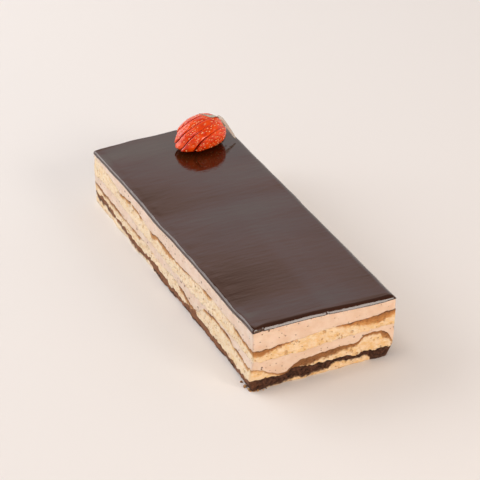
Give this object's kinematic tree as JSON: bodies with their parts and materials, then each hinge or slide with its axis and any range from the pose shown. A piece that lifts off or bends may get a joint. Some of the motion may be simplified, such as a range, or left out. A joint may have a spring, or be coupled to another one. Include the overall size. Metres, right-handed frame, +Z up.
{
  "type": "opera cake",
  "caption": "Long block of opera cake: coffee-soaked almond sponge, coffee buttercream and ganache layers under a dark chocolate glaze, with a fan-cut strawberry on top.",
  "frame": {"origin": "middle of the underside of the cake's box, on the surface that it stands on", "axes": "+Z up, +Y along the cake from its front end to the end with the strawberry, +X to the right seen from the front end"},
  "size_m": [0.0876, 0.2262, 0.0548],
  "materials": {
    "glaze": "mirror-like dark chocolate glaze, rounded rim, faint spreading streaks",
    "buttercream": "smooth knife-cut coffee buttercream with small dark pinholes",
    "sponge": "fine open almond sponge crumb with a brown coffee-soaked band at its upper face",
    "ganache": "dark crumbly chocolate ganache with a slight sheen",
    "strawberry": "moist orange-red berry skin with pale seeds in dimples",
    "leaf": "dry grey-green sepals with pale undersides"
  },
  "bodies": {
    "root": {"glaze": "glaze", "buttercream_top": "buttercream", "sponge_top": "sponge", "buttercream_lower": "buttercream", "sponge_middle": "sponge", "ganache": "ganache", "sponge_base": "sponge", "strawberry": "strawberry", "strawberry_calyx": "leaf"}
  },
  "joints": []
}
